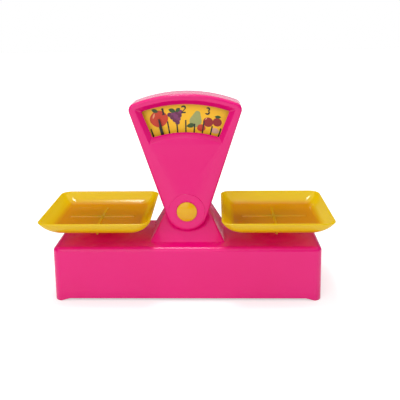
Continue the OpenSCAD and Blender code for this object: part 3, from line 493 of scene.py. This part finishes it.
def window_ring(grow, y, corner=1.2):
    """Outline of the window, grown outwards by a distance: two arcs about the axle, leaning sides, small corners."""
    low = np.array([window_low_half, math.sqrt(window_low_r ** 2 - window_low_half ** 2)])
    high = np.array([window_high_half, math.sqrt(window_high_r ** 2 - window_high_half ** 2)])
    along = (high - low) / np.linalg.norm(high - low)
    normal = np.array([along[1], -along[0]])
    lean = math.degrees(math.atan2(along[0], along[1]))
    q = low @ normal + grow - corner
    k_low = q * normal + math.sqrt((window_low_r - grow + corner) ** 2 - q ** 2) * along
    k_high = q * normal + math.sqrt((window_high_r + grow - corner) ** 2 - q ** 2) * along
    low_a = math.degrees(math.atan2(k_low[1], k_low[0]))
    high_a = math.degrees(math.atan2(k_high[1], k_high[0]))
    half = np.concatenate([arc_points((0, 0), window_low_r - grow, 90, low_a, 20),
                           arc_points(k_low, corner, low_a - 180, -lean, 6)[1:],
                           arc_points(k_high, corner, -lean, high_a, 6),
                           arc_points((0, 0), window_high_r + grow, high_a, 90, 20)[1:]])
    return both_sides(half, y)


def dial_circle(cx, cz, r, y, count=96):
    """Circle about an axis along Y, in the dial's plane: r times the cosine and sine of the angle, at depth y."""
    a = np.linspace(0, 2 * np.pi, count, endpoint=False)
    return np.stack([cx + r * np.cos(a), np.full(count, y), cz + r * np.sin(a)], 1)


# Inset from the outline and depth behind the rim: an eased edge, then the lip that enters the pan.
lip_profile = [(0, -0.25), (0.08, -0.07), (0.25, 0), (2.35, 0), (2.35, 1.6), (2.55, 1.8), (3.35, 1.8), (3.55, 1.6)]
rim = ([head_ring(edge_r * (1 - math.cos(t)), face_y + edge_r * (1 - math.sin(t))) for t in turns[::-1]]
       + [head_ring(inset, rim_y + back) for inset, back in lip_profile] + [head_ring(lip_profile[-1][0], inner_y)])
# Growth of the window and depth: the sloping frame, from the face down to the window's edge and behind it.
slope_profile = [(bevel_w + 0.5, face_y), (bevel_w + 0.1, face_y + 0.1), (bevel_w - 0.2, face_y + 0.38),
                 (bevel_w / 2, face_y + 2.62), (0.25, bevel_back_y - 0.35), (0.08, bevel_back_y - 0.1),
                 (0.25, bevel_back_y), (1.0, bevel_back_y), (3.6, inner_y)]
frame_slope = [window_ring(grow, y) for grow, y in slope_profile]
# Radius and depth: the raised disc, the shallow seat for the cap, and the socket for its stem.
disc_profile = ([(disc_r + 0.25, face_y), (disc_r + 0.05, face_y - 0.07), (disc_r, face_y - 0.25)]
                + [(disc_r - disc_edge + disc_edge * math.cos(t), seat_y + disc_edge - disc_edge * math.sin(t))
                   for t in turns]
                + [(cap_seat_r, seat_y), (10.6, seat_y + 0.25), (9.6, seat_y + 0.3), (cap_bore_r, seat_y + 0.3),
                   (cap_bore_r, cap_socket_y), (cap_socket_r, cap_socket_y), (cap_socket_r, inner_y)])
disc = [dial_circle(0, end_z, r, y) for r, y in disc_profile]
patches = [np.stack(rim), np.stack(frame_slope), np.stack(disc)]
flats = [[rim[0], frame_slope[0], disc[0]], [rim[-1], frame_slope[-1], disc[-1]]]
# Radius and depth: a screw post, its eased end, and its blind bore.
post_profile = [(post_r, inner_y - 1.0), (post_r, post_end_y - 0.3), (post_r - 0.3, post_end_y),
                (post_mouth_r, post_end_y), (screw_bore, post_end_y - 0.3), (screw_bore, post_bore_end_y)]
for rise in (end_rise + post_lift, window_low_r - bevel_w - 3 * post_r - wall - post_gap):
    for sx in (-1, 1):
        cx, cz = sx * (side_x(rise) - post_in / cos_a), axle_z + rise
        rows = [dial_circle(cx, cz, r, y, 32) for r, y in post_profile]
        patches.append(np.stack(rows))
        flats += [[rows[0]], [rows[-1]]]
make_piece("dial_front", patches, flats, pink, "housing", "dial_bezel")

# Cap: the round yellow domed cap, a small ABS moulding whose stem is pressed into the disc's bore.
# Its short rim is eased above and below, so that a thin line of light runs round it.
yellow = moulded_plastic("yellow_abs_moulded", "#e4ae00", "#dea400", 0.16)
stem_r, stem_l, cap_r, cap_dome_r, cap_dome_rise, cap_dome_foot = 4.0, 5.0, 10.3, 9.6, 2.0, 1.4
cap_ball = (cap_dome_r ** 2 + cap_dome_rise ** 2) / (2 * cap_dome_rise)
# Radius and depth: the stem, the eased rim, and the dome, a part of a ball.
cap_profile = ([(stem_r, seat_y + stem_l), (stem_r, seat_y + 0.05), (9.9, seat_y), (10.2, seat_y - 0.05),
                (cap_r, seat_y - 0.3), (cap_r, seat_y - 0.8), (10.15, seat_y - 1.15), (9.9, seat_y - 1.35)]
               + [(r, seat_y - cap_dome_foot - (math.sqrt(cap_ball ** 2 - r ** 2) - cap_ball + cap_dome_rise))
                  for r in np.linspace(cap_dome_r, 0.4, 18)])
cap = np.stack([dial_circle(0, end_z, r, y) for r, y in cap_profile])
make_piece("dial_cap", [cap], [[cap[0]], [cap[-1]]], yellow, "housing", "hub_cap")

# Dial card: a die-cut card behind the window, printed in golden yellow and laminated.
# Nine black ticks, the numbers 1, 2 and 3, and plain fruit shapes stand on it as thin layers of ink.
ink_layer, ink_thick = 0.03, 0.02
tick_step, tick_low_r, tick_r, tick_long_r, tick_w = 4.35, 106.5, 116.5, 120.0, 1.3
number_r, number_size, pen_half = 130.4, 6.6, 0.66
grape_across, grape_down, grape_top, grape_r, grape_h = 3.7, 3.1, 3.4, 2.35, 2.2
grapes_angle, grapes_r, grapes_lean = -4.5, 123.6, -10


def printed_ink(name, colour, shade, roughness=0.45):
    """Offset ink under a thin laminate: flat colour, a faint mottle of the paper 2.5 mm wide, half-gloss film."""
    made, tree, out = empty_material(name)
    at = add(tree, "TexCoord").outputs["Object"]
    mottle = add(tree, "TexNoise", {"Vector": at, "Scale": 1 / (2.5 * MM), "Detail": 5.0})
    tint = add(tree, "MixRGB", {0: mottle.outputs["Fac"], 1: linear(colour), 2: linear(shade)})
    rough = add(tree, "MapRange", {"Value": mottle.outputs["Fac"], "To Min": roughness - 0.06,
                                   "To Max": roughness + 0.08})
    shader = add(tree, "BsdfPrincipled", {"Base Color": tint.outputs[0], "Roughness": rough.outputs[0]})
    tree.links.new(shader.outputs[0], out.inputs["Surface"])
    return made


card_ink = printed_ink("yellow_laminated_card", "#ffc814", "#febe18")
frame["nodes"]["dial_card"].data.materials.clear()
frame["nodes"]["dial_card"].data.materials.append(card_ink)
card_front_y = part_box("dial_card")[0][1] / MM


def printed(name, shapes, material):
    """Flat ink shapes, each an outline in the dial's plane and a layer number, as thin closed sheets in front
    of the card. Real ink is thinner; here each layer stands one ink_layer before the one under it, so that no
    two faces share a plane."""
    patches, flats = [], []
    for outline, layer in shapes:
        rows = [np.stack([outline[:, 0], np.full(len(outline), card_front_y - y), outline[:, 1] + axle_z], 1)
                for y in (ink_layer * layer - ink_thick, ink_layer * layer)]
        patches.append(np.stack(rows))
        flats += [[rows[0]], [rows[1]]]
    return make_piece(name, patches, flats, material, "housing")


def on_dial(loop, angle, r, size, lean=0.0):
    """A small drawing, given upright and about its own middle, set on the dial at an angle and radius."""
    turn = math.radians(angle + lean)
    a = math.radians(angle)
    across = np.asarray(loop, float) * size
    turned = across @ np.array([[math.cos(turn), -math.sin(turn)], [math.sin(turn), math.cos(turn)]])
    return turned + r * np.array([math.sin(a), math.cos(a)])


def tick(angle, high_r):
    """One radial tick at an angle from upright, clockwise, from tick_low_r to a radius about the axle."""
    half, low = tick_w / 2, tick_low_r - high_r
    return on_dial([[-half, low], [half, low], [half, 0], [-half, 0]], angle, high_r, 1.0)


def stroke(path, widths):
    """Outline of a pen stroke: points along a path, and the pen's width at each, times pen_half to each side."""
    path, widths = np.array(path, float), np.array(widths, float)
    way = np.gradient(path, axis=0)
    way /= np.linalg.norm(way, axis=1)[:, None]
    side = np.stack([-way[:, 1], way[:, 0]], 1) * widths[:, None] * pen_half
    return np.concatenate([path + side, (path - side)[::-1]])


def blob(cx, cy, rx, ry, wobble=0.0, waves=5, count=48):
    """Closed outline round a point: an ellipse whose radius swells and shrinks a few times on the way round."""
    a = np.linspace(0, 2 * np.pi, count, endpoint=False)
    r = 1 + wobble * np.cos(waves * a + 0.6)
    return np.stack([cx + rx * r * np.cos(a), cy + ry * r * np.sin(a)], 1)


def leaf(cx, cy, length, width, turn):
    """Pointed leaf: half a sine wave on either side of its middle line, turned by an angle in degrees."""
    t = np.linspace(0, 1, 15)
    edge = width * np.sin(np.pi * t) ** 0.8 / 2
    loop = np.concatenate([np.stack([t * length, edge], 1), np.stack([t * length, -edge], 1)[::-1][1:-1]])
    a = math.radians(turn)
    return loop @ np.array([[math.cos(a), math.sin(a)], [-math.sin(a), math.cos(a)]]) + [cx, cy]


def grapes(column):
    """The grapes of the even or of the odd columns: rows of four, three, two and one, in two layers by turns."""
    return [(on_dial(blob((j - (3 - i) / 2) * grape_across, grape_top - i * grape_down, grape_r, grape_h),
                     grapes_angle, grapes_r, 1.0, grapes_lean), 2 + column + 2 * (i % 2))
            for i in range(4) for j in range(4 - i) if j % 2 == column]


# The fruit: each print's name, its ink and a second shade of it, and its shapes. A shape is set on the dial at an
# angle from upright and a radius, and stands in a layer.
pear = np.concatenate([arc_points((0, -1.3), 3.1, -200, 20, 22), arc_points((0, 2.6), 1.5, 10, 170, 12)])
prints = (
    ("print_purple", "#6f2350", "#5c1c44", grapes(0)),
    ("print_violet", "#8a3a6c", "#742a5a", grapes(1)),
    ("print_orange_red", "#d8401c", "#c23416", [(on_dial(blob(0, 0, 9.0, 8.2, 0.02, 4), -12.4, 124.0, 1.0), 2),
                                                (on_dial(blob(0, 0, 4.2, 3.6, 0.03), 7.8, 113.0, 1.0), 4)]),
    ("print_highlights", "#f0a878", "#e8986a", [(on_dial(leaf(-5.8, 1.4, 5.6, 1.7, 60), -12.4, 124.0, 1.0), 4),
                                                (on_dial(leaf(-2.6, 0.9, 2.8, 1.1, 60), 10.4, 120.6, 1.0), 5)]),
    ("print_dark_green", "#3a5a24", "#2c4a1c", [(on_dial(leaf(0, 0, 5.6, 3.6, 34), -4.4, 128.6, 1.0), 6),
                                                (on_dial(leaf(0, 0, 7.4, 4.2, 158), -4.4, 128.6, 1.0), 7),
                                                (on_dial(leaf(0, 0, 7.0, 3.8, 150), -12.0, 130.8, 1.0), 4),
                                                (on_dial(leaf(0, 0, 8.6, 4.6, 12), 0.4, 113.6, 1.0), 5),
                                                (on_dial(leaf(0, 0, 6.2, 3.0, 8), 13.2, 126.2, 1.0), 6)]),
    ("print_pale_green", "#a8ad6a", "#98a05c", [(on_dial(pear, 4.9, 121.5, 1.95, 10), 3)]),
    ("print_red", "#a31d1c", "#8c1616", [(on_dial(blob(0, 0, 5.0, 4.8, 0.03, 2), 10.7, 119.6, 1.0), 3),
                                         (on_dial(blob(0, 0, 4.4, 4.3, 0.03, 2), 14.9, 121.4, 1.0), 2)]),
    ("print_pink", "#e8b09a", "#dca08a", [(on_dial(blob(0, 0, 3.8, 2.7, 0.04, 3), 15.0, 112.6, 1.0), 2)]),
)
for name, colour, shade, shapes in prints:
    printed(name, shapes, printed_ink(name + "_ink", colour, shade))
# The numbers 1, 2 and 3 as pen strokes in a box one unit high, each set at its angle on the dial.
sweep = np.radians(np.linspace(165, -50, 15))
two = np.stack([0.27 * np.cos(sweep), 0.23 + 0.25 * np.sin(sweep)], 1).tolist() + [[-0.1, -0.25], [-0.3, -0.44]]
upper, lower = np.radians(np.linspace(150, -80, 13)), np.radians(np.linspace(80, -150, 14))
three_top = np.stack([0.23 * np.cos(upper), 0.26 + 0.22 * np.sin(upper)], 1)
three_low = np.stack([0.27 * np.cos(lower), -0.2 + 0.26 * np.sin(lower)], 1)
numbers = (
    (-9.9, [stroke([[0.0, 0.5], [0.0, -0.45]], [0.2, 0.2]), stroke([[-0.22, -0.46], [0.22, -0.46]], [0.08, 0.08]),
            stroke([[-0.22, 0.33], [0.02, 0.47]], [0.06, 0.12])]),
    (-0.9, [stroke(two, np.interp(np.linspace(0, 1, len(two)), [0, 0.5, 1], [0.14, 0.2, 0.06])),
            stroke([[-0.32, -0.45], [0.32, -0.45]], [0.15, 0.15])]),
    (9.6, [stroke(three_top, np.interp(np.linspace(0, 1, 13), [0, 0.5, 1], [0.12, 0.19, 0.07])),
           stroke(three_low, np.interp(np.linspace(0, 1, 14), [0, 0.5, 1], [0.07, 0.2, 0.12]))]))
black_shapes = [(tick(tick_step * i, tick_long_r if i in (-2, 0, 2) else tick_r), 8) for i in range(-4, 5)]
for angle, strokes in numbers:
    black_shapes += [(on_dial(loop, angle, number_r, number_size), 8 + i) for i, loop in enumerate(strokes)]
printed("print_black", black_shapes, printed_ink("black_ink", "#141012", "#1d181a"))

# Needle: a black ABS moulding pressed on its steel axle, tapering to a narrow tip; a dull black to the eye.
# It stands in front of the card, clear of it, and swings with the pinion.
black = moulded_plastic("black_abs_moulded", "#151113", "#1e191b", roughness=0.38)
smooth_copy("pointer", "needle", black)

# Trays: two square yellow ABS pans with curved walls, a raised cross on the floor and cross ribs beneath.
# Their walls are thin enough to let some light through, so they glow. Each sits on the peg of its plunger.
tray_half, tray_h, tray_flare, tray_wall, tray_corner, floor_corner = 55.8, 11.5, 12.0, 1.9, 11.0, 9.0
tray_lift, wall_bow, wall_lean, rim_drop = 16.6, 0.35, 0.65, 1.0
rib_depth, rib_half_l, rib_half_w, rib_edge = 5.6, 34.0, 1.0, 0.6
under_z = base_h + tray_lift
floor_z = under_z + tray_wall
rib_low_z = under_z - rib_depth
# Painted shade: the floor, the foot of the walls, the cross and everything beneath take the deeper #e4ae00 below 2.8
# mm over the floor, blended across that band. It stands in for the light the floor loses and for the pink base
# glowing through it. The cross's top stands higher in the band, so it comes out lighter than the floor.
tray_yellow_painted_floor_shade = moulded_plastic("yellow_abs_thin_walled_painted_floor_shade", "#eedc00", "#ead000", 0.14, 0.9, 0.6, "#e4ae00",
                              (floor_z + 0.05, floor_z + 2.8))
# The raised cross: arm along X, arm along Y, width, height over the floor. The socket below: radius, height.
mark_profile = [(33.8, 28.8, 3.8, 0.0), (33.5, 28.5, 3.2, 0.5), (33.2, 28.2, 2.6, 0.85), (32.8, 27.8, 1.8, 0.95)]
socket_profile = [(8.2, under_z + 0.5), (8.2, rib_low_z + 0.34), (7.9, rib_low_z + 0.04), (5.2, rib_low_z + 0.04),
                  (4.92, rib_low_z + 0.34), (4.92, under_z - 0.02)]


def tray_ring(cx, share, grow, z):
    """Rounded square between the floor's edge at share 0 and the rim at share 1."""
    half = tray_half - tray_flare * (1 - share) + grow
    return plan_ring(half, half, floor_corner + (tray_corner - floor_corner) * share + grow, z, cx, corner=18)


def cross_ring(cx, arm_x, arm_y, width, z):
    """Plus-shaped outline from above, with its two arm lengths and one arm width."""
    h = width / 2
    flat = np.array([[arm_x, -h], [arm_x, h], [h, h], [h, arm_y], [-h, arm_y], [-h, h], [-arm_x, h], [-arm_x, -h],
                     [-h, -h], [-h, -arm_y], [h, -arm_y], [h, -h]], float)
    return np.column_stack([flat + [cx, 0], np.full(12, z)])


for side, place in ((-1, "left"), (1, "right")):
    cx = side * tray_x
    t = np.linspace(0, 1, 19)
    share = wall_bow * np.sin(np.radians(90 * t)) + wall_lean * t
    rise = wall_bow * (1 - np.cos(np.radians(90 * t))) + wall_lean * t
    inside = [tray_ring(cx, s, -tray_wall, floor_z + tray_h * r) for s, r in zip(share[:-1], rise[:-1])]
    lip = [tray_ring(cx, 1, (math.cos(a) - 1) * tray_wall / 2, floor_z + tray_h - (1 - math.sin(a)) * tray_wall / 2)
           for a in np.radians(np.linspace(180, 0, 9))]
    outside = [tray_ring(cx, s, 0, under_z + (tray_h + tray_wall - rim_drop) * r)
               for s, r in zip(share[::-1], rise[::-1])]
    skin = inside + lip + outside
    mark = [cross_ring(cx, arm_x, arm_y, width, floor_z + over) for arm_x, arm_y, width, over in mark_profile]
    patches = [np.stack(skin), np.stack(mark)]
    flats = [[skin[0], mark[0]], [mark[-1]], [skin[-1]]]
    for half_x, half_y, low in ((rib_half_l, rib_half_w, rib_low_z), (rib_half_w, rib_half_l, rib_low_z + 0.02)):
        rows = [plan_ring(half_x - d, half_y - d, rib_edge - d, z, cx, corner=4)
                for d, z in ((0.0, under_z + 0.5), (0.0, low + 0.3), (0.09, low + 0.09), (0.3, low))]
        patches.append(np.stack(rows))
        flats += [[rows[0]], [rows[-1]]]
    rows = [circle_ring(cx, 0, r, z, 64) for r, z in socket_profile]
    patches.append(np.stack(rows))
    flats += [[rows[0]], [rows[-1]]]
    make_piece("tray_%s_pan" % place, patches, flats, tray_yellow_painted_floor_shade, place + "_tray", "tray_" + place)
    smooth_copy("plunger_" + place, "plunger_stem_" + place, yellow)

# Movement: a white bracket under the base's top, the rocker beam with its toothed sector, and the pointer's
# pinion and collar, all uncoloured acetal, milky white and half glossy. The two axles and the clips are plated
# steel. All of it is hidden inside the housing.
acetal = moulded_plastic("white_acetal_moulded", "#e6e4de", "#dcd9d2", roughness=0.34)
for node in ("movement_frame", "rocker_beam", "pointer_pinion", "pointer_collar"):
    smooth_copy(node, node + "_moulded", acetal)
for node in ("beam_axle", "beam_axle_clips", "pointer_axle"):
    smooth_copy(node, node + "_plated", steel)
